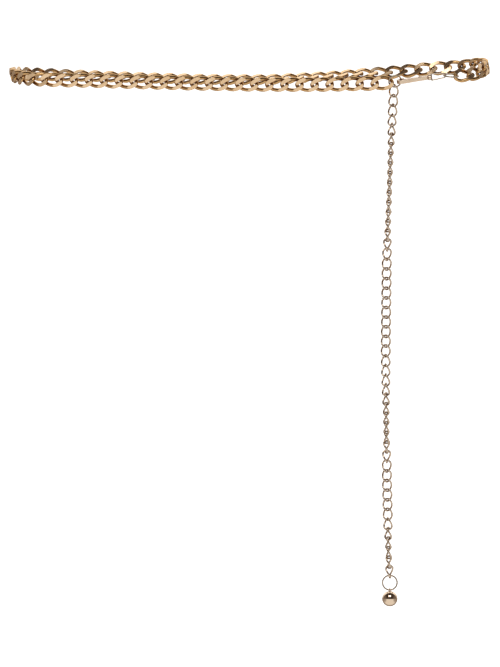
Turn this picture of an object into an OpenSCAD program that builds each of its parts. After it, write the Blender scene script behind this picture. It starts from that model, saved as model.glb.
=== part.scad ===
// Waist chain: a flat-cut curb chain loop with a lobster clasp, and a thin
// extension chain that hangs from the hook ring and ends in a ring and a ball.
// Millimetres, +Z up, seen from -Y. The origin is the middle of the waist loop.

/* [Waist loop] */
// Width of the loop between the chain's centre lines at its two ends
loop_w = 307; // [260:1:360]
// Depth of the loop between the centre lines of its front and back strands
loop_depth = 90; // [80:1:120]
// Radius of the loop's four corners, seen from above
corner_r = 30; // [28:1:33]
// Height between the lowest and the highest point of the loop's route
loop_rise = 10.8; // [0:0.2:20]
// How far the front strand's last curb link is in from the loop's right end
front_end_in = 68.1; // [62:0.1:90]

/* [Curb links] */
// Distance from one curb link to the next, when the chain is pulled straight
curb_pitch = 9.72; // [8:0.02:14]
// Diameter of the curb links' wire
curb_wire = 2.45; // [2.2:0.05:2.6]
// Width of a curb link over its rails
curb_w = 9.7; // [9.4:0.1:10.4]
// Play of a curb link between its neighbours along the chain
curb_play = 0.9; // [0.36:0.02:1.2]
// Thickness of the curb chain over its flat-cut faces
curb_flat = 3.4; // [3:0.05:5]

/* [Extension chain] */
// Number of links in the extension chain
extension_links = 51; // [20:1:60]
// Distance from one extension link to the next
extension_pitch = 6.22; // [5:0.02:7.5]
// Diameter of the extension links' wire
extension_wire = 1.25; // [0.9:0.05:1.4]
// Width of an extension link over its rails
extension_w = 6.8; // [6:0.1:7.4]

/* [Rings] */
// Diameter of the wire of the jump rings and of the drop ring
ring_wire = 1; // [0.7:0.05:1]
// Outer diameter of the hook ring
hook_ring_d = 9; // [8.4:0.1:10]
// Outer diameter of the joining ring
joining_ring_d = 10.6; // [9:0.1:12]
// Outer diameter of the drop ring
drop_ring_d = 10.4; // [9:0.1:13]

/* [Clasp] */
// Length of the clasp from the front of its hook to its collar's end face
clasp_len = 22.2; // [21:0.1:25]
// Thickness of the clasp's claw
clasp_t = 2.4; // [2.2:0.1:3]
// Outer radius of the round front of the claw
claw_front_r = 3.9; // [3.8:0.1:4.4]
// Outer radius of the claw where it meets the collar
claw_tail_r = 1.7; // [1.6:0.1:1.9]
// Width of the claw's bar
claw_bar = 1.6; // [1.4:0.05:1.8]
// Radius of the collar round the swivel's shank
collar_r = 1.95; // [1.8:0.05:2.4]
// Length of the collar
collar_len = 1.6; // [1:0.1:2]
// Roll of the claw about its length, its near side down
clasp_roll = 8; // [0:1:25]
// Thickness of the lever's blade
lever_t = 1.3; // [1:0.05:1.5]
// Radius of the lever's pivot pin
pin_r = 0.45; // [0.35:0.05:0.5]
// Radius of the swivel's shank
shank_r = 0.5; // [0.4:0.05:0.6]
// Length of the bail from its base bar to its round end, on the wire's middle
bail_len = 9.2; // [8:0.1:12]
// Height of the bail's base bar, on the wire's middle
bail_base = 4.1; // [3.6:0.1:5]
// Radius of the bail's round end, on the wire's middle
bail_end_r = 1.5; // [1.3:0.05:1.8]
// Diameter of the bail's wire
bail_wire = 0.85; // [0.7:0.05:1]

/* [Ball drop] */
// Diameter of the ball
ball_d = 10; // [8:0.1:14]
// Diameter of the wire of the ball's eye
eye_wire = 0.8; // [0.6:0.05:0.9]
// Inner diameter of the ball's eye
eye_hole = 1.5; // [1.5:0.05:2]

/* [Fits] */
// Gap between links and rings where they bear on each other
link_gap = 0.36; // [0.32:0.01:0.4]
// Gap round the lever's blade in its slot
slot_gap = 0.1; // [0.08:0.01:0.15]
// Radial clearance of the pivot pin and of the swivel's shank
pin_fit = 0.05; // [0.03:0.01:0.08]

/* [Hidden] */
$fn = 48;

// Colours
warm_gold = [0.93, 0.74, 0.55];
pale_gold = [0.86, 0.75, 0.62];

// Height of the loop's route. Each row: x as a share of half the loop's width,
// then the front strand's and the back strand's height as shares of loop_rise.
STRAND_HEIGHTS = [
    [-1.00,  0.108,  0.427],
    [-0.94,  0.084,  0.237],
    [-0.82,  0.059,  0.140],
    [-0.63,  0.024,  0.040],
    [-0.44, -0.045, -0.060],
    [-0.21, -0.115, -0.158],
    [ 0.00, -0.168, -0.182],
    [ 0.13, -0.180, -0.145],
    [ 0.26, -0.191, -0.028],
    [ 0.38, -0.175,  0.085],
    [ 0.46, -0.152,  0.190],
    [ 0.53, -0.142,  0.235],
    [0.575, -0.122,  0.265],
    [ 0.64,  0.023,  0.335],
    [0.775,  0.233,  0.535],
    [ 0.83,  0.286,  0.597],
    [ 0.87,  0.262,  0.630],
    [ 0.91,  0.233,  0.706],
    [ 0.96,  0.315,  0.939],
    [ 1.00,  0.420,  1.097]];

// Roll of the curb links about their length, the top edge leaning out of the
// loop. Each row: x as a share of half the loop's width, then the front strand's
// and the back strand's roll.
STRAND_ROLLS = [
    [-1.00,   5, 22],
    [-0.90,   8, 40],
    [-0.80,   8, 52],
    [-0.65,   8, 58],
    [-0.40,   8, 60],
    [ 0.10,   8, 61],
    [ 0.40,   6, 66],
    [ 0.48,   5, 62],
    [ 0.56,   2, 52],
    [ 0.72, -18, 33],
    [ 0.90, -45, 26],
    [ 1.00, -22,  5]];

// Route of the extension chain. Each row: share of the way down, how far it
// sways to the side in millimetres, and how far its links have turned.
EXTENSION_ROUTE = [
    [0.00,   0.0,  12],
    [0.025, -0.2,  18],
    [0.05,  -0.8,  30],
    [0.09,  -1.4,  60],
    [0.12,  -1.8,  82],
    [0.21,  -2.8,  92],
    [0.30,  -3.9, 100],
    [0.36,  -4.5, 172],
    [0.43,  -4.7, 180],
    [0.54,  -5.1, 186],
    [0.56,  -5.1, 212],
    [0.63,  -4.9, 242],
    [0.65,  -4.8, 256],
    [0.72,  -4.5, 268],
    [0.78,  -4.3, 350],
    [0.87,  -3.7, 366],
    [0.92,  -3.4, 438],
    [0.955, -3.1, 445],
    [1.00,  -2.3, 495]];

// Bow of the long strands and of the loop's ends, as turns of their arcs
strand_turn = 8;
end_turn = 30;

// Round shape of a link: 2 is an ellipse, more is squarer
link_squareness = 2.45;
link_twist = 50;
curb_rings = 12;
curb_sides = 6;
extension_rings = 12;
extension_sides = 5;

curb_half = (curb_pitch + curb_wire + curb_play) / 2;
extension_half = (extension_pitch + extension_wire + link_gap) / 2;
hook_r = (hook_ring_d - ring_wire) / 2;
joining_r = (joining_ring_d - ring_wire) / 2;
drop_r = (drop_ring_d - ring_wire) / 2;

// Arcs of the loop, seen from above: long strand, corner, end
half_w = loop_w / 2;
half_d = loop_depth / 2;
front_end_x = half_w - front_end_in;
rest_w = half_w - corner_r * (cos(end_turn) - sin(strand_turn));
rest_d = half_d - corner_r * (cos(strand_turn) - sin(end_turn));
arcs_det = sin(strand_turn) * sin(end_turn)
           - (1 - cos(end_turn)) * (1 - cos(strand_turn));
strand_r = (rest_w * sin(end_turn) - rest_d * (1 - cos(end_turn))) / arcs_det;
end_r = (rest_d * sin(strand_turn) - rest_w * (1 - cos(strand_turn))) / arcs_det;
corner_turn = 90 - strand_turn - end_turn;
strand_arc = strand_r * strand_turn * PI / 180;
corner_arc = corner_r * corner_turn * PI / 180;
end_arc = end_r * end_turn * PI / 180;
quarter = strand_arc + corner_arc + end_arc;

// Point of the front right quarter, s along it from the middle of the front
function quarter_point(s) =
    s <= strand_arc ?
        let (h = s / strand_r * 180 / PI)
        [strand_r * sin(h), strand_r * (1 - cos(h)) - half_d]
    : s <= strand_arc + corner_arc ?
        let (h = strand_turn + (s - strand_arc) / corner_r * 180 / PI)
        [strand_r * sin(strand_turn) + corner_r * (sin(h) - sin(strand_turn)),
         strand_r * (1 - cos(strand_turn))
         + corner_r * (cos(strand_turn) - cos(h)) - half_d]
    :
        let (h = 90 - (quarter - s) / end_r * 180 / PI)
        [half_w - end_r * (1 - sin(h)), -end_r * cos(h)];

// Point of the whole loop seen from above, for any s
function plan_point(s) =
    s < 0 ? plan_point(s + 4 * quarter)
    : s > 4 * quarter ? plan_point(s - 4 * quarter)
    : s <= quarter ? quarter_point(s)
    : s <= 2 * quarter ?
        let (p = quarter_point(2 * quarter - s)) [p.x, -p.y]
    : s <= 3 * quarter ?
        let (p = quarter_point(s - 2 * quarter)) [-p.x, -p.y]
    :
        let (p = quarter_point(4 * quarter - s)) [-p.x, p.y];

// Value of a strand table at point p: between the strands, a share of each
function strand_column(rows, x, column) =
    lookup(x / half_w, [for (row = rows) [row[0], row[column]]]);
function strand_value(rows, p) =
    let (back = (p.y / half_d + 1) / 2)
    strand_column(rows, p.x, 1) * (1 - back) + strand_column(rows, p.x, 2) * back;

function route(s) =
    let (p = plan_point(s))
    [p.x, p.y, loop_rise * strand_value(STRAND_HEIGHTS, p)];

function strand_s(x) = strand_r * asin(x / strand_r) * PI / 180;

// Stretch of the route that the clasp and its rings take: from the last curb
// link, through hook ring, claw, bail and joining ring, to the first curb link.
// The end link crosses the hook ring, and the claw enters it, below its middle.
hook_ring_lift = 0.9;
hook_ring_lean = 20;
claw_drop = 0.4;
link_bite = curb_wire / 2 + ring_wire / 2 + link_gap;
hook_seat_r = sqrt(pow(hook_r, 2) - pow(hook_ring_lift, 2));
claw_seat_r = sqrt(pow(hook_r - ring_wire / 2 - link_gap, 2)
                   - pow(claw_drop + clasp_t / 2, 2));
bail_base_x = link_gap / 2 + bail_wire / 2;
bail_seat_x = bail_base_x + bail_len - bail_wire / 2 - link_gap - ring_wire / 2;
last_link_s = strand_s(front_end_x);
hook_ring_s = last_link_s + curb_half - link_bite + hook_seat_r;
claw_front_s = hook_ring_s + claw_seat_r - claw_bar;
collar_s = claw_front_s + clasp_len;
first_link_s = collar_s + bail_seat_x + 2 * joining_r - link_bite + curb_half;
chain_start_s = first_link_s - curb_pitch / 2;
chain_end_s = last_link_s + curb_pitch / 2 + 4 * quarter;
curb_links = ceil((chain_end_s - chain_start_s) / curb_pitch);
curb_step = (chain_end_s - chain_start_s) / curb_links;

function unit(v) = v / norm(v);

// Frame of a rod from point a to point b: its middle, heading and dip
function heading(a, b) = atan2(b.y - a.y, b.x - a.x);
function dip(a, b, h) =
    atan2(a.z - b.z, (b.x - a.x) * cos(h) + (b.y - a.y) * sin(h));

module along(a, b, turn = 0) {
    h = heading(a, b);
    translate((a + b) / 2)
        rotate([0, dip(a, b, h), h])
            rotate([turn, 0, 0])
                children();
}

// The same frame as a list: middle, long axis, thickness axis, width axis
function rod_frame(a, b, turn, h) =
    let (d = dip(a, b, h),
         x = [cos(d) * cos(h), cos(d) * sin(h), -sin(d)],
         y = [-sin(h), cos(h), 0],
         z = cross(x, y))
    [(a + b) / 2, x, cos(turn) * y + sin(turn) * z, cos(turn) * z - sin(turn) * y];

function placed(p, frame) = frame[0] + p.x * frame[1] + p.y * frame[2] + p.z * frame[3];

// One twisted link about its own middle: long way on X, width on Z
function signed_power(v, e) = sign(v) * pow(abs(v), e);

function link_centre(t, half, side) =
    let (u = half * signed_power(cos(t), 2 / link_squareness),
         v = side * signed_power(sin(t), 2 / link_squareness),
         f = link_twist * u / half)
    [u, v * sin(f), v * cos(f)];

function link_ring(i, rings, sides, half, side, r, flat) =
    let (t = 360 * i / rings,
         c = link_centre(t, half, side),
         along_wire = unit(link_centre(t + 1, half, side)
                           - link_centre(t - 1, half, side)),
         f = link_twist * c.x / half,
         face = [0, cos(f), -sin(f)],
         n = unit(face - (face * along_wire) * along_wire),
         m = cross(along_wire, n))
    [for (k = [0:sides - 1])
        let (b = 360 * (k + 0.5) / sides,
             p = c + r * (cos(b) * n + sin(b) * m))
        [p.x, max(-flat / 2, min(flat / 2, p.y)), p.z]];

function link_points(rings, sides, half, side, r, flat) =
    [for (i = [0:rings - 1]) each link_ring(i, rings, sides, half, side, r, flat)];

// A chain: the same link in each of the frames, every link loose from the next
module chain(frames, link, rings, sides) {
    points = [for (frame = frames, p = link) placed(p, frame)];
    faces = [for (n = [0:len(frames) - 1], i = [0:rings - 1], k = [0:sides - 1])
        let (first = n * rings * sides,
             here = first + i * sides,
             next = first + ((i + 1) % rings) * sides,
             a = here + k,
             b = here + (k + 1) % sides,
             c = next + (k + 1) % sides,
             d = next + k)
        each [[a, c, b], [a, d, c]]];
    polyhedron(points = points, faces = faces, convexity = 10);
}

module wire_ring(r, wire) {
    rotate_extrude() translate([r, 0]) circle(d = wire);
}

// Frame of curb link i: its ends lie on the route
function curb_frame(i) =
    let (a = route(chain_start_s + i * curb_step),
         b = route(chain_start_s + (i + 1) * curb_step))
    rod_frame(a, b, strand_value(STRAND_ROLLS, (a + b) / 2), heading(a, b));

module curb_chain() color(warm_gold) {
    link = link_points(curb_rings, curb_sides, curb_half, (curb_w - curb_wire) / 2,
                       curb_wire / 2, curb_flat);
    chain([for (i = [0:curb_links - 1]) curb_frame(i)], link, curb_rings, curb_sides);
}

// Where the jump rings' wire sits in the end links, just short of their tips
last_frame = curb_frame(curb_links - 1);
first_frame = curb_frame(0);
hook_seat = last_frame[0] + (curb_half - link_bite) * last_frame[1];
joining_seat = first_frame[0] - (curb_half - link_bite) * first_frame[1];

// Hook ring: round, facing the front and leaning a little
strand_heading = heading(last_frame[0], first_frame[0]);
strand_way = [cos(strand_heading), sin(strand_heading), 0];
hook_up = [sin(hook_ring_lean) * sin(strand_heading), -sin(hook_ring_lean) * cos(strand_heading),
           cos(hook_ring_lean)];
hook_centre = hook_seat + hook_seat_r * strand_way + hook_ring_lift * hook_up;

module hook_ring() color(pale_gold) {
    translate(hook_centre)
        rotate([90 + hook_ring_lean, 0, strand_heading])
            wire_ring(hook_r, ring_wire);
}

// Clasp: X runs from the hook (minus) to the collar's end face at 0, the claw
// lies in XY with its spine on -Y and its lever on +Y
claw_front_x = claw_front_r - clasp_len;
claw_sink = 0.3;
claw_tail_x = claw_sink - collar_len - claw_tail_r;
claw_hole_r = claw_front_r - claw_bar;
claw_hole_tail_r = 1.2;
claw_hole_tail_x = -7;
pivot = [-6.4, 2.05];
pivot_boss_r = 1.15;
lever_eye_r = 1;
pin_proud = 0.12;
lever_tip_r = 0.7;
lever_tip_back = 2.2;
lever_tip_in = 0.35;
lever_tip = [claw_front_x + lever_tip_back, claw_front_r - claw_bar / 2 - lever_tip_in];
lever_tab = [-4.3, 3.3];
lever_tab_r = 0.65;
shank_head_r = 0.65;
shank_head_len = 0.6;
pocket_sink = 0.4;
pocket_x = claw_hole_tail_x + claw_hole_tail_r + pocket_sink;
bore_start_x = 1;

clasp_a = hook_centre + (claw_seat_r - claw_bar) * strand_way - [0, 0, claw_drop];
clasp_way = unit(route(collar_s) - clasp_a);
clasp_b = clasp_a + clasp_len * clasp_way;
module on_clasp() {
    along(clasp_a, clasp_b, clasp_roll)
        translate([clasp_len / 2, 0, 0])
            children();
}

// Angle at which the outer tangent from circle p to circle q, each [x, y, r],
// leaves both, going anticlockwise round them
function tangent_angle(p, q) =
    let (way = [q.x - p.x, q.y - p.y])
    atan2(way.y, way.x) - acos((p.z - q.z) / norm(way));

arc_step = 7.5;
function arc_points(c, from, to) =
    let (steps = max(1, ceil((to - from) / arc_step)))
    [for (i = [0:steps])
        let (a = from + (to - from) * i / steps)
        [c.x + c.z * cos(a), c.y + c.z * sin(a)]];

// One outline round circles that are listed anticlockwise
module outline(circles) {
    n = len(circles);
    polygon([for (i = [0:n - 1])
        let (from = tangent_angle(circles[(i + n - 1) % n], circles[i]),
             to = tangent_angle(circles[i], circles[(i + 1) % n]))
        each arc_points(circles[i], from, to - 360 * floor((to - from) / 360))]);
}

module slab(t) {
    linear_extrude(t, center = true) children();
}

// What the lever needs free in the claw: its window and the slot at its eye
window_x = lever_tip.x - lever_tip_r - slot_gap;
cheek_x = pivot.x - pivot_boss_r - 2 * slot_gap;
slot_floor = pivot.y - lever_eye_r - slot_gap;
slot_from_x = cheek_x - lever_eye_r;
slot_to_x = lever_tab.x + lever_tab_r + slot_gap;
module lever_room() {
    slab(2 * clasp_t)
        translate([window_x, 0]) square([cheek_x - window_x, 2 * claw_front_r]);
    slab(lever_t + 2 * slot_gap)
        translate([slot_from_x, slot_floor])
            square([slot_to_x - slot_from_x, 2 * claw_front_r]);
}

module to_hook(from_x, r, h) {
    translate([from_x, 0, 0]) rotate([0, -90, 0]) cylinder(r = r, h = h);
}

module clasp_body() color(warm_gold) on_clasp() {
    difference() {
        union() {
            slab(clasp_t)
                outline([[claw_front_x, 0, claw_front_r], [claw_tail_x, 0, claw_tail_r]]);
            translate(pivot) cylinder(r = pivot_boss_r, h = clasp_t, center = true);
            to_hook(0, collar_r, collar_len);
        }
        slab(2 * clasp_t)
            outline([[claw_front_x, 0, claw_hole_r],
                     [claw_hole_tail_x, 0, claw_hole_tail_r]]);
        lever_room();
        to_hook(bore_start_x, shank_r + pin_fit, bore_start_x - pocket_x);
        to_hook(pocket_x, shank_head_r + slot_gap, 2 * shank_head_len);
    }
    translate(pivot) cylinder(r = pin_r, h = clasp_t + 2 * pin_proud, center = true);
}

module clasp_lever() color(pale_gold) on_clasp() {
    difference() {
        slab(lever_t)
            outline([[lever_tip.x, lever_tip.y, lever_tip_r],
                     [pivot.x, pivot.y, lever_eye_r],
                     [lever_tab.x, lever_tab.y, lever_tab_r]]);
        translate(pivot) cylinder(r = pin_r + pin_fit, h = 2 * lever_t, center = true);
    }
}

module clasp_bail() color(pale_gold) on_clasp() rotate([-clasp_roll, 0, 0]) bail();

// Rod of diameter d in the bail's plane, which is XZ
module rod(p, q, d) {
    translate([p.x, 0, p.y])
        rotate([0, 90 - atan2(q.y - p.y, q.x - p.x), 0])
            cylinder(d = d, h = norm(q - p));
}

// Bail about the collar's end face: base bar, two sides that run tangent into a
// round end, and a headed shank. The balls at its corners stand a little proud.
corner_ball = 1.1;
module bail() {
    end_x = bail_base_x + bail_len - bail_end_r;
    reach = [end_x - bail_base_x, bail_base / 2];
    arc = 180 - atan2(reach.y, reach.x) - acos(bail_end_r / norm(reach));
    rod([bail_base_x, -reach.y], [bail_base_x, reach.y], bail_wire);
    for (side = [-1, 1]) {
        rod([bail_base_x, side * reach.y],
            [end_x + bail_end_r * cos(arc), side * bail_end_r * sin(arc)], bail_wire);
        translate([bail_base_x, 0, side * reach.y]) sphere(d = corner_ball * bail_wire);
    }
    translate([end_x, 0, 0]) rotate([90, 0, 0]) rotate([0, 0, -arc])
        rotate_extrude(angle = 2 * arc) translate([bail_end_r, 0]) circle(d = bail_wire);
    to_hook(bail_base_x, shank_r, bail_base_x - pocket_x + 2 * slot_gap);
    to_hook(pocket_x - slot_gap, shank_head_r, shank_head_len);
}

// Joining ring: nearly level, from the bail's round end to the first curb link
joining_roll = 10;
bail_seat = clasp_b + bail_seat_x * clasp_way;
module joining_ring() color(pale_gold) {
    along(bail_seat, joining_seat, joining_roll) wire_ring(joining_r, ring_wire);
}

// Extension chain: rods of one pitch each, hung from the hook ring's bottom
hang_shift = -0.5;
extension_bite = extension_wire / 2 + ring_wire / 2 + link_gap;
extension_len = extension_links * extension_pitch;
hang_point = hook_centre + hang_shift * strand_way
             - sqrt(pow(hook_r, 2) - pow(hang_shift, 2)) * hook_up
             + [0, 0, extension_bite - (extension_half - extension_pitch / 2)];

function sway(z) =
    lookup((hang_point.z - z) / extension_len, [for (row = EXTENSION_ROUTE) [row[0], row[1]]]);
function turned(z) =
    lookup((hang_point.z - z) / extension_len, [for (row = EXTENSION_ROUTE) [row[0], row[2]]]);

// The chain's nodes from the top down, each one pitch from the last
extension_nodes = [for (i = 0,
                        z = hang_point.z,
                        x = hang_point.x;
                        i <= extension_links;
                        i = i + 1,
                        next_x = hang_point.x + sway(z - extension_pitch),
                        z = z - sqrt(pow(extension_pitch, 2) - pow(next_x - x, 2)),
                        x = next_x)
    [x, hang_point.y, z]];

module extension_chain() color(pale_gold) {
    link = link_points(extension_rings, extension_sides, extension_half,
                       (extension_w - extension_wire) / 2, extension_wire / 2, extension_w);
    frames = [for (i = [0:extension_links - 1])
        let (a = extension_nodes[i], b = extension_nodes[i + 1])
        rod_frame(a, b, turned((a.z + b.z) / 2), 0)];
    chain(frames, link, extension_rings, extension_sides);
}

// Drop ring and ball hang plumb below the last link
chain_foot = extension_nodes[extension_links];
drop_centre = [chain_foot.x, chain_foot.y,
               chain_foot.z - (extension_half - extension_pitch / 2)
               + extension_bite - drop_r];

module drop_ring() color(pale_gold) {
    translate(drop_centre) rotate([90, 0, 0]) wire_ring(drop_r, ring_wire);
}

// The eye stands across the ring's lowest point, sunk in the ball's top
eye_r = (eye_hole + eye_wire) / 2;
eye_z = drop_centre.z - drop_r + (ring_wire + eye_wire) / 2 + link_gap / 2 - eye_r;
ball_sink = 0.9;
ball_z = eye_z - eye_r - eye_wire / 2 - ball_d / 2 + ball_sink;

module ball_drop() color(warm_gold) {
    translate([drop_centre.x, drop_centre.y, eye_z])
        rotate([0, 90, 0]) wire_ring(eye_r, eye_wire);
    translate([drop_centre.x, drop_centre.y, ball_z]) sphere(d = ball_d);
}

curb_chain();
hook_ring();
clasp_body();
clasp_lever();
clasp_bail();
joining_ring();
extension_chain();
drop_ring();
ball_drop();
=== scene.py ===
import math

import bmesh
import bpy
import numpy as np
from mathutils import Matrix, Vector


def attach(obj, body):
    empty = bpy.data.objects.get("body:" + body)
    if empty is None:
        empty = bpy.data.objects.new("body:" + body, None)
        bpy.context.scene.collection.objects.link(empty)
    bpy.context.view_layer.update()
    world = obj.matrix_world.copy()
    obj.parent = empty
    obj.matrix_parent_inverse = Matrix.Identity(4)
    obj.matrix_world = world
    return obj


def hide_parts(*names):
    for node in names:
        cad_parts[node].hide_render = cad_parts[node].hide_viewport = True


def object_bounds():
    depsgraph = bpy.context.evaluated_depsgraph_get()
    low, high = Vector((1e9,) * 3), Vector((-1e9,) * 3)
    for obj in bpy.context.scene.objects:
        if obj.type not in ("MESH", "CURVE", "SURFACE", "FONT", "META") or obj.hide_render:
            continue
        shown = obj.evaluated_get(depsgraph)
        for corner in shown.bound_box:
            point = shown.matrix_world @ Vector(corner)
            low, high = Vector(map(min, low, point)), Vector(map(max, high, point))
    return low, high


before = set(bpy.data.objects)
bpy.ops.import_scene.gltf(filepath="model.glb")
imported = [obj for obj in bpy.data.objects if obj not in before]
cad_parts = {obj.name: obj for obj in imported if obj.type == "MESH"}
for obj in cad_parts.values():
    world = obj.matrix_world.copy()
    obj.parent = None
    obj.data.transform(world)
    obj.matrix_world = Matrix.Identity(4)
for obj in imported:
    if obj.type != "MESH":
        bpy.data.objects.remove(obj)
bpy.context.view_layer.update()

MM = 0.001

# The curb links and the extension links, in millimetres and degrees, with the values of the CAD model
CURB = {"half": 6.535, "side": 3.625, "wire": 2.45, "flat": 3.4, "twist": 50, "rings": 40, "sides": 20}
FINE = {"half": 3.915, "side": 2.775, "wire": 1.25, "flat": None, "twist": 50, "rings": 32, "sides": 12}
SQUARENESS = 2.45
# The bevel round a cut face, in millimetres, and its steps
BEVEL = 0.07
BEVEL_STEPS = 2
# A corner this near to the cut's plane, and a face whose middle is this near to it, lie on it
CUT_SNAP = 1e-5
CUT_NEAR = 1e-3
# Corners of a CAD solid are the same point where they agree to this many decimals of a metre
SAME_DECIMALS = 7

# Jump rings, in millimetres. The closed joint's depth is a share of the wire, and its width is in degrees.
RING_WIRE = 1.0
RING_STEPS = 144
RING_SIDES = 20
JOINT_DEPTH = 0.12
JOINT_WIDTH = 1.6

# The ball, its eye and the foot of solder under the eye, in millimetres, and the steps of their meshes.
# The foot is as wide as its radius at the top, and flares out by its flare down to the ball.
BALL_RADIUS = 5.0
BALL_STEPS = 96
EYE_RADIUS = 1.15
EYE_WIRE = 0.8
EYE_STEPS = 64
EYE_SIDES = 20
FOOT_RADIUS = 0.62
FOOT_FLARE = 0.9
FOOT_HEIGHT = 0.28
FOOT_CURVE = 2.4
FOOT_STEPS = 12

# The photograph's frame: millimetres per pixel, its size, and the pixel of the origin
PIXEL = 0.645
WIDE, HIGH = 500, 667
ORIGIN_PIXEL = (249.5, 79.0)
# The camera sees the loop from this far above, from this far away; the scale holds at this depth
LOOP_ELEVATION = math.radians(2)
CAMERA_AWAY = 6.0
SCALE_DEPTH = -0.04
SENSOR_WIDTH = 36
CLIP = (0.1, 100)


def make_camera():
    across = (WIDE / 2 - ORIGIN_PIXEL[0]) * PIXEL * MM
    below = (ORIGIN_PIXEL[1] - HIGH / 2) * PIXEL * MM
    aim = Vector((across, SCALE_DEPTH, below + SCALE_DEPTH * math.tan(-LOOP_ELEVATION)))
    place = Vector((across, -CAMERA_AWAY, CAMERA_AWAY * math.tan(LOOP_ELEVATION)))
    data = bpy.data.cameras.new("camera")
    data.sensor_width = SENSOR_WIDTH
    data.lens = data.sensor_width * (place - aim).length / (HIGH * PIXEL * MM)
    data.clip_start, data.clip_end = CLIP
    camera = bpy.data.objects.new("camera", data)
    camera.location = place
    camera.rotation_euler = (aim - place).to_track_quat("-Z", "Y").to_euler()
    bpy.context.scene.collection.objects.link(camera)
    bpy.context.scene.camera = camera


# Materials. Painted shade darkens the gold in recesses within this distance in metres, between these shares
# of open sky.
RECESS_SHADE_REACH = 0.003
RECESS_SHADE_FADE = (0.35, 0.85)
RECESS_SHADE_SAMPLES = 6
# Scale and detail of the noise in the drift of tone, in the polishing marks and in the waves of a face
DRIFT_SCALE, DRIFT_DETAIL = 120, 3
MARK_SCALE, MARK_DETAIL = 2600, 5
WAVE_SCALE, WAVE_DETAIL = 220, 0
# The marks' depth in metres
MARK_DEPTH = 0.00002
# The noise's values between which the tone and the gloss go from low to high
TONE_SPAN = (0.35, 0.65)
GLOSS_SPAN = (0.3, 0.7)
# The floor's tone, its faintly deeper tone as a share of that, and the scale of the noise between them
FLOOR_TONE = (0.95, 0.95, 0.95)
FLOOR_SHADE = 0.985
FLOOR_SCALE = 3


def nodes_of(name):
    material = bpy.data.materials.new(name)
    material.use_nodes = True
    tree = material.node_tree
    return material, tree.nodes, tree.links, tree.nodes["Principled BSDF"]


def noise_node(nodes, links, coords, scale, detail=DRIFT_DETAIL):
    n = nodes.new("ShaderNodeTexNoise")
    n.inputs["Scale"].default_value = scale
    n.inputs["Detail"].default_value = detail
    links.new(coords, n.inputs["Vector"])
    return n.outputs["Fac"]


def ramp_node(nodes, links, share, low, high):
    n = nodes.new("ShaderNodeValToRGB")
    for element, place, colour in zip(n.color_ramp.elements, TONE_SPAN, (low, high)):
        element.position = place
        element.color = (*colour, 1)
    links.new(share, n.inputs["Fac"])
    return n.outputs["Color"]


def range_node(nodes, links, value, span, low=0, high=1, smooth=False):
    """From low to high, as value goes through the span."""
    n = nodes.new("ShaderNodeMapRange")
    n.interpolation_type = "SMOOTHSTEP" if smooth else "LINEAR"
    n.inputs["From Min"].default_value, n.inputs["From Max"].default_value = span
    n.inputs["To Min"].default_value, n.inputs["To Max"].default_value = low, high
    links.new(value, n.inputs["Value"])
    return n.outputs["Result"]


def mix_node(nodes, links, share, first, second):
    """The first colour where share is 0 and the second where it is 1; each is a colour or a socket."""
    n = nodes.new("ShaderNodeMixRGB")
    links.new(share, n.inputs["Fac"])
    for name, colour in (("Color1", first), ("Color2", second)):
        if isinstance(colour, tuple):
            n.inputs[name].default_value = (*colour, 1)
        else:
            links.new(colour, n.inputs[name])
    return n.outputs["Color"]


def gold(name, light, deep, rough, bump=0.04, grain=(1, 1, 1), recess_shade=(0.42, 0.2, 0.07), wave=0.0):
    """Plated gold: its tone drifts a little, and painted shade darkens it towards the shade colour in the
    hollows that ambient occlusion finds. Fine marks vary its gloss, and its faces may be a little wavy (wave
    is in millimetres)."""
    material, nodes, links, shader = nodes_of(name)
    where = nodes.new("ShaderNodeTexCoord").outputs["Object"]
    stretch = nodes.new("ShaderNodeMapping")
    stretch.inputs["Scale"].default_value = grain
    links.new(where, stretch.inputs["Vector"])
    drift = noise_node(nodes, links, where, DRIFT_SCALE)
    marks = noise_node(nodes, links, stretch.outputs["Vector"], MARK_SCALE, MARK_DETAIL)
    # Painted shade: ambient occlusion darkens the base colour towards the shade colour in crevices between
    # and inside the links.
    recess_shade_ao = nodes.new("ShaderNodeAmbientOcclusion")
    recess_shade_ao.samples = RECESS_SHADE_SAMPLES
    recess_shade_ao.inputs["Distance"].default_value = RECESS_SHADE_REACH
    shade_share = range_node(nodes, links, recess_shade_ao.outputs["AO"], RECESS_SHADE_FADE)
    tone = mix_node(nodes, links, shade_share, recess_shade, ramp_node(nodes, links, drift, deep, light))
    links.new(tone, shader.inputs["Base Color"])
    links.new(range_node(nodes, links, marks, GLOSS_SPAN, *rough), shader.inputs["Roughness"])
    shader.inputs["Metallic"].default_value = 1
    relief = nodes.new("ShaderNodeBump")
    relief.inputs["Strength"].default_value = bump
    relief.inputs["Distance"].default_value = MARK_DEPTH
    links.new(marks, relief.inputs["Height"])
    if wave:
        swell = nodes.new("ShaderNodeBump")
        swell.inputs["Strength"].default_value = 1
        swell.inputs["Distance"].default_value = wave * MM
        links.new(noise_node(nodes, links, where, WAVE_SCALE, WAVE_DETAIL), swell.inputs["Height"])
        links.new(swell.outputs["Normal"], relief.inputs["Normal"])
    links.new(relief.outputs["Normal"], shader.inputs["Normal"])
    return material


def plain(name, colour):
    """A matt surface that glows in its own tone, so that hardly any shade shows on it."""
    material, nodes, links, shader = nodes_of(name)
    where = nodes.new("ShaderNodeTexCoord").outputs["Object"]
    soft = noise_node(nodes, links, where, FLOOR_SCALE)
    tone = ramp_node(nodes, links, soft, [c * FLOOR_SHADE for c in colour], colour)
    links.new(tone, shader.inputs["Base Color"])
    links.new(tone, shader.inputs["Emission Color"])
    shader.inputs["Emission Strength"].default_value = 1
    shader.inputs["Roughness"].default_value = 1
    shader.inputs["Specular IOR Level"].default_value = 0
    return material


# The round wire's gold is a darker, more orange copy of the facets' gold: painted shade on the round wire.
# The shade colour given to each gold is painted shade in its crevices.
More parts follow.
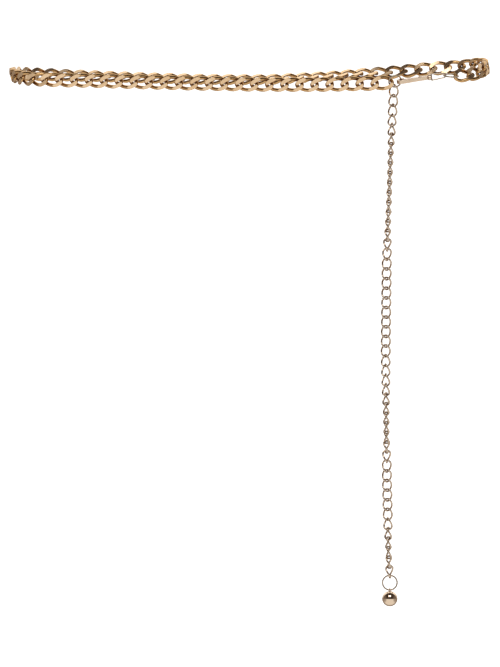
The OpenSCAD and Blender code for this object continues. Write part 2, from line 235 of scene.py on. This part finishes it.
CURB_GOLD = gold("curb_gold", (0.74, 0.46, 0.21), (0.62, 0.37, 0.15), (0.16, 0.26),
                 recess_shade=(0.28, 0.12, 0.03), wave=0.05)
FACET_GOLD = gold("facet_gold", (0.97, 0.71, 0.45), (0.90, 0.62, 0.36), (0.2, 0.3),
                  grain=(1, 1, 8), recess_shade=(0.6, 0.34, 0.14), wave=0.2)
FINE_GOLD = gold("fine_chain_gold", (0.82, 0.67, 0.52), (0.72, 0.57, 0.43), (0.08, 0.16),
                 recess_shade=(0.2, 0.1, 0.05))
RING_GOLD = gold("ring_gold", (0.60, 0.49, 0.37), (0.52, 0.42, 0.31), (0.08, 0.18))
CLASP_GOLD = gold("clasp_gold", (0.88, 0.71, 0.54), (0.76, 0.58, 0.42), (0.12, 0.24),
                  bump=0.06, wave=0.15)
BALL_GOLD = gold("ball_gold", (0.93, 0.74, 0.55), (0.91, 0.71, 0.52), (0.04, 0.08), bump=0.01)


# Meshes
def new_object(name, points, faces, materials, flat_faces=(), body="waist_chain"):
    """A smooth mesh in metres that rides a body. Its flat faces take the last material."""
    mesh = bpy.data.meshes.new(name)
    mesh.from_pydata([tuple(p) for p in points], [], faces)
    mesh.polygons.foreach_set("use_smooth", [True] * len(mesh.polygons))
    for m in materials:
        mesh.materials.append(m)
    for i in flat_faces:
        mesh.polygons[i].use_smooth = False
        mesh.polygons[i].material_index = len(materials) - 1
    mesh.update()
    o = bpy.data.objects.new(name, mesh)
    bpy.context.scene.collection.objects.link(o)
    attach(o, body)
    return o


def tube(centres, normals, radius, sides):
    """Points and quads of a closed tube round a closed line of centres."""
    n = len(centres)
    ways = np.roll(centres, -1, 0) - np.roll(centres, 1, 0)
    ways /= np.linalg.norm(ways, axis=1)[:, None]
    normals = normals - (normals * ways).sum(1)[:, None] * ways
    normals /= np.linalg.norm(normals, axis=1)[:, None]
    across = np.cross(ways, normals)
    points, faces = [], []
    for i in range(n):
        for k in range(sides):
            b = 2 * math.pi * (k + 0.5) / sides
            points.append(centres[i] + radius * (math.cos(b) * normals[i] + math.sin(b) * across[i]))
            j, m = (i + 1) % n, (k + 1) % sides
            faces.append((i * sides + k, i * sides + m, j * sides + m, j * sides + k))
    return np.array(points), faces


def cut_flat(points, faces, half):
    """The link cut flat this far from its middle on both sides: points, faces, and which are the cuts."""
    bm = bmesh.new()
    verts = [bm.verts.new(p) for p in points]
    for f in faces:
        bm.faces.new([verts[i] for i in f])
    caps = []
    for side in (-1, 1):
        geometry = bm.verts[:] + bm.edges[:] + bm.faces[:]
        cut = bmesh.ops.bisect_plane(bm, geom=geometry, dist=CUT_SNAP, plane_co=(0, side * half, 0),
                                     plane_no=(0, side, 0), clear_outer=True)
        rim = [e for e in cut["geom_cut"] if isinstance(e, bmesh.types.BMEdge)]
        caps += bmesh.ops.holes_fill(bm, edges=rim, sides=0)["faces"]
    bm.faces.ensure_lookup_table()
    bm.normal_update()
    rims = list({e for f in caps for e in f.edges})
    bmesh.ops.bevel(bm, geom=rims, offset=BEVEL, segments=BEVEL_STEPS, affect="EDGES", profile=0.5)
    bmesh.ops.recalc_face_normals(bm, faces=bm.faces[:])
    bm.verts.index_update()
    points = np.array([v.co[:] for v in bm.verts])
    faces, flats = [], []
    for f in bm.faces:
        middle = f.calc_center_median()
        if len(f.verts) > 4 and abs(abs(middle.y) - half) < CUT_NEAR:
            flats.append(len(faces))
        faces.append(tuple(v.index for v in f.verts))
    bm.free()
    return points, faces, flats


def link_form(form):
    """One link about its middle, in millimetres: points, faces, and which faces are flat-cut."""
    t = 2 * np.pi * np.arange(form["rings"]) / form["rings"]

    def power(v):
        return np.sign(v) * np.abs(v) ** (2 / SQUARENESS)

    u, v = form["half"] * power(np.cos(t)), form["side"] * power(np.sin(t))
    turn = np.radians(form["twist"]) * u / form["half"]
    centres = np.stack([u, v * np.sin(turn), v * np.cos(turn)], 1)
    normals = np.stack([0 * u, np.cos(turn), -np.sin(turn)], 1)
    points, faces = tube(centres, normals, form["wire"] / 2, form["sides"])
    if form["flat"] is None:
        return points, faces, []
    return cut_flat(points, faces, form["flat"] / 2)


def corners_of(node):
    return np.array([v.co[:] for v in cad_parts[node].data.vertices])


def islands(node):
    """The corner points of each loose solid of a CAD node, in metres."""
    corners, index = np.unique(np.round(corners_of(node), SAME_DECIMALS), axis=0, return_inverse=True)
    index = index.ravel()
    root = list(range(len(corners)))

    def find(i):
        while root[i] != i:
            root[i] = root[root[i]]
            i = root[i]
        return i

    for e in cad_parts[node].data.edges:
        a, b = find(index[e.vertices[0]]), find(index[e.vertices[1]])
        root[a] = b
    groups = {}
    for i in range(len(corners)):
        groups.setdefault(find(i), []).append(i)
    return [corners[g] for g in groups.values()]


def axes_of(points):
    """Middle of a solid's corners and its axes, the longest first, right-handed."""
    middle = points.mean(0)
    _, _, rows = np.linalg.svd(points - middle, full_matrices=False)
    x, z = rows[0], rows[1]
    return middle, x, np.cross(z, x), z


def chain(name, node, form, materials):
    """A detailed link in the place of each of the CAD node's links."""
    link, link_faces, link_flats = link_form(form)
    points, faces, flats = [], [], []
    for solid in islands(node):
        middle, x, y, z = axes_of(solid)
        flats += [len(faces) + i for i in link_flats]
        base = len(points) * len(link)
        faces += [tuple(base + i for i in f) for f in link_faces]
        points.append(middle + MM * (link[:, :1] * x + link[:, 1:2] * y + link[:, 2:] * z))
    o = new_object(name, np.concatenate(points), faces, materials, flat_faces=flats)
    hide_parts(node)
    return o


def jump_ring(name, node, joint):
    """A ring of round wire in the place of the CAD ring. Its fine closed joint is at an angle in degrees."""
    solid = corners_of(node)
    middle = (solid.min(0) + solid.max(0)) / 2
    _, _, rows = np.linalg.svd(solid - solid.mean(0), full_matrices=False)
    x, y = rows[0], rows[1]
    radius = np.linalg.norm(solid - middle, axis=1).max() - RING_WIRE / 2 * MM
    t = 2 * np.pi * np.arange(RING_STEPS) / RING_STEPS
    line = np.cos(t)[:, None] * x + np.sin(t)[:, None] * y
    points, faces = tube(middle + radius * line, line.copy(), RING_WIRE / 2 * MM, RING_SIDES)
    groove = 1 - JOINT_DEPTH * np.exp(-((np.degrees(t) - joint) / JOINT_WIDTH) ** 2)
    for i in range(RING_STEPS):
        c = middle + radius * line[i]
        around = slice(i * RING_SIDES, (i + 1) * RING_SIDES)
        points[around] = c + (points[around] - c) * groove[i]
    o = new_object(name, points, faces, [RING_GOLD])
    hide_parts(node)
    return o


def cast_copy(name, node, material, voxel, passes, body="waist_chain"):
    """The CAD solid with its edges softened, as a casting that was tumbled smooth. The voxel is in
    millimetres, and the passes are of smoothing."""
    o = bpy.data.objects.new(name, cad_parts[node].data.copy())
    bpy.context.scene.collection.objects.link(o)
    remesh = o.modifiers.new("remesh", "REMESH")
    remesh.mode, remesh.voxel_size, remesh.use_smooth_shade = "VOXEL", voxel * MM, True
    smooth = o.modifiers.new("smooth", "SMOOTH")
    smooth.factor, smooth.iterations = 0.5, passes
    bpy.context.view_layer.update()
    done = bpy.data.meshes.new_from_object(o.evaluated_get(bpy.context.evaluated_depsgraph_get()))
    o.modifiers.clear()
    o.data = done
    done.materials.clear()
    done.materials.append(material)
    done.polygons.foreach_set("use_smooth", [True] * len(done.polygons))
    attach(o, body)
    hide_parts(node)
    return o


def lathe(line, sides):
    """Points and faces of a line of (radius, height) turned round Z, closed at both ends."""
    points, faces = [(0, 0, line[0][1])], []
    for r, h in line[1:-1]:
        points += [(r * math.cos(a), r * math.sin(a), h)
                   for a in (2 * math.pi * k / sides for k in range(sides))]
    points.append((0, 0, line[-1][1]))
    rows = len(line) - 2
    for k in range(sides):
        m = (k + 1) % sides
        faces.append((0, 1 + m, 1 + k))
        for i in range(rows - 1):
            a, b = 1 + i * sides, 1 + (i + 1) * sides
            faces.append((a + k, a + m, b + m, b + k))
        a = 1 + (rows - 1) * sides
        faces.append((a + k, a + m, len(points) - 1))
    return np.array(points), faces


def ball_line():
    """The ball's outline with its solder foot, from the bottom up, as (radius, height)."""
    foot = []
    for i in range(FOOT_STEPS + 1):
        share = i / FOOT_STEPS
        foot.append((FOOT_RADIUS + FOOT_FLARE * (1 - share) ** FOOT_CURVE, FOOT_HEIGHT * share))
    seat = math.sqrt(BALL_RADIUS ** 2 - foot[0][0] ** 2)
    start = math.acos(foot[0][0] / BALL_RADIUS)
    line = [(0, -BALL_RADIUS)]
    for i in range(1, BALL_STEPS + 1):
        a = -math.pi / 2 + (start + math.pi / 2) * i / BALL_STEPS
        line.append((BALL_RADIUS * math.cos(a), BALL_RADIUS * math.sin(a)))
    line += [(r, seat + h) for r, h in foot[1:]]
    return line + [(0, line[-1][1])]


def ball(name, node):
    """The polished ball with a soldered eye, round a little foot of solder."""
    solid = corners_of(node) / MM
    low, high = solid.min(0), solid.max(0)
    middle = np.array([(low[0] + high[0]) / 2, (low[1] + high[1]) / 2, low[2] + BALL_RADIUS])
    points, faces = lathe(ball_line(), BALL_STEPS)
    points = points + middle
    t = 2 * np.pi * np.arange(EYE_STEPS) / EYE_STEPS
    around = np.stack([0 * t, np.cos(t), np.sin(t)], 1)
    eye = np.array([middle[0], middle[1], high[2] - EYE_RADIUS - EYE_WIRE / 2])
    eye_points, eye_faces = tube(eye + EYE_RADIUS * around, around.copy(), EYE_WIRE / 2, EYE_SIDES)
    faces += [tuple(len(points) + i for i in f) for f in eye_faces]
    o = new_object(name, MM * np.concatenate([points, eye_points]), faces, [BALL_GOLD], body="ball")
    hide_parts(node)
    return o


# Stage: a plain pale floor that curves up into a wall and a dome, in metres; its curves step by degrees
FLOOR_DROP = 0.012
FLOOR_RINGS = 6
BOWL_RADIUS = 12
BOWL_CORNER = 3
BOWL_SIDES = 96
BOWL_STEP = 5


def make_floor():
    """The stage as one bowl. The gold doesn't mirror it, and it casts no shadow."""
    flat = BOWL_RADIUS - BOWL_CORNER
    line = [(flat * i / FLOOR_RINGS, 0) for i in range(1, FLOOR_RINGS + 1)]
    for i in range(1, 90 // BOWL_STEP + 1):
        a = math.radians(BOWL_STEP * i)
        line.append((flat + BOWL_CORNER * math.sin(a), BOWL_CORNER * (1 - math.cos(a))))
    for i in range(1, 90 // BOWL_STEP):
        a = math.radians(BOWL_STEP * i)
        line.append((BOWL_RADIUS * math.cos(a), BOWL_CORNER + BOWL_RADIUS * math.sin(a)))
    points = [(0, 0, 0)]
    faces = []
    for r, h in line:
        for k in range(BOWL_SIDES):
            b = 2 * math.pi * k / BOWL_SIDES
            points.append((r * math.cos(b), r * math.sin(b), h))
    for k in range(BOWL_SIDES):
        m = (k + 1) % BOWL_SIDES
        faces.append((0, 1 + k, 1 + m))
        for i in range(len(line) - 1):
            a, b = 1 + i * BOWL_SIDES, 1 + (i + 1) * BOWL_SIDES
            faces.append((a + k, b + k, b + m, a + m))
    mesh = bpy.data.meshes.new("floor")
    mesh.from_pydata(points, [], faces)
    mesh.polygons.foreach_set("use_smooth", [True] * len(mesh.polygons))
    mesh.materials.append(plain("floor", FLOOR_TONE))
    floor = bpy.data.objects.new("floor", mesh)
    floor.location = (0, 0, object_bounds()[0].z - FLOOR_DROP)
    floor.visible_glossy = floor.visible_shadow = floor.visible_diffuse = False
    bpy.context.scene.collection.objects.link(floor)


# The studio that the gold mirrors: a dark room in front, a wall behind that is bright overhead, a floor
# that is darker behind, and dark sides. Each span says where, along a unit direction, one tone gives way
# to the next.
DARK_ROOM = (0.055, 0.042, 0.036)
LOW_WALL = (0.72, 0.7, 0.68)
HIGH_WALL = (1.2, 1.2, 1.2)
PALE_FLOOR = (0.81, 0.8, 0.79)
FAR_FLOOR = (0.3, 0.26, 0.23)
DARK_SIDES = (0.2, 0.165, 0.14)
WALL_LEAN = 0.24
WALL_SPAN = (0.32, 0.58)
WALL_HEIGHT_SPAN = (0.1, 0.7)
HORIZON_SPAN = (-0.04, 0.02)
FAR_SPAN = (0.0, 0.65)
SIDE_SPAN = (0.66, 0.97)
SIDE_SHARE = 0.75


def math_node(nodes, links, operation, *inputs):
    """One sum; each input is a number, or a socket to link."""
    n = nodes.new("ShaderNodeMath")
    n.operation = operation
    for slot, value in zip(n.inputs, inputs):
        if isinstance(value, float):
            slot.default_value = value
        else:
            links.new(value, slot)
    return n.outputs[0]


def make_world():
    world = bpy.data.worlds.new("studio")
    bpy.context.scene.world = world
    world.use_nodes = True
    nodes, links = world.node_tree.nodes, world.node_tree.links
    way = nodes.new("ShaderNodeSeparateXYZ")
    links.new(nodes.new("ShaderNodeTexCoord").outputs["Generated"], way.inputs[0])
    x, y, z = way.outputs["X"], way.outputs["Y"], way.outputs["Z"]

    def step(value, span, high=1):
        return range_node(nodes, links, value, span, high=high, smooth=True)

    lean = math_node(nodes, links, "MULTIPLY_ADD", z, WALL_LEAN, y)
    wall = mix_node(nodes, links, step(z, WALL_HEIGHT_SPAN), LOW_WALL, HIGH_WALL)
    room = mix_node(nodes, links, step(lean, WALL_SPAN), DARK_ROOM, wall)
    floor = mix_node(nodes, links, step(y, FAR_SPAN), PALE_FLOOR, FAR_FLOOR)
    whole = mix_node(nodes, links, step(z, HORIZON_SPAN), floor, room)
    aside = math_node(nodes, links, "ABSOLUTE", x)
    studio = mix_node(nodes, links, step(aside, SIDE_SPAN, SIDE_SHARE), whole, DARK_SIDES)
    links.new(studio, nodes["Background"].inputs["Color"])
    nodes["Background"].inputs["Strength"].default_value = 1.0


# The height of the point that the lamp is aimed at, in metres
LAMP_MIDDLE = -0.15


def soft_light(name, azimuth, elevation, away, size, power):
    """A soft box. Its angles are in degrees, and azimuth 0 is the camera's side."""
    data = bpy.data.lights.new(name, "AREA")
    data.shape, data.size, data.size_y, data.energy = "RECTANGLE", size[0], size[1], power
    light = bpy.data.objects.new(name, data)
    a, e = math.radians(azimuth), math.radians(elevation)
    way = Vector((math.sin(a) * math.cos(e), -math.cos(a) * math.cos(e), math.sin(e)))
    light.location = way * away + Vector((0, 0, LAMP_MIDDLE))
    light.rotation_euler = way.to_track_quat("Z", "Y").to_euler()
    bpy.context.scene.collection.objects.link(light)


bpy.context.scene.view_settings.view_transform = "Standard"
make_camera()
make_world()
make_floor()
soft_light("key", azimuth=0, elevation=41, away=2.0, size=(1.2, 0.75), power=10)

# Each piece with its material slot
PIECES = [
    (chain("curb_links", "curb_chain", CURB, [CURB_GOLD, FACET_GOLD]), "curb_gold"),
    (chain("extension_links", "extension_chain", FINE, [FINE_GOLD]), "fine_chain_gold"),
    (jump_ring("hook_jump_ring", "hook_ring", joint=60), "ring_gold"),
    (jump_ring("joining_jump_ring", "joining_ring", joint=100), "ring_gold"),
    (jump_ring("drop_jump_ring", "drop_ring", joint=40), "ring_gold"),
    (cast_copy("clasp_claw", "clasp_body", CLASP_GOLD, voxel=0.07, passes=7), "clasp_gold"),
    (cast_copy("clasp_blade", "clasp_lever", CLASP_GOLD, voxel=0.05, passes=6, body="lever"),
     "clasp_gold"),
    (cast_copy("swivel_bail", "clasp_bail", RING_GOLD, voxel=0.05, passes=4), "ring_gold"),
    (ball("ball_and_eye", "ball_drop"), "ball_gold"),
]
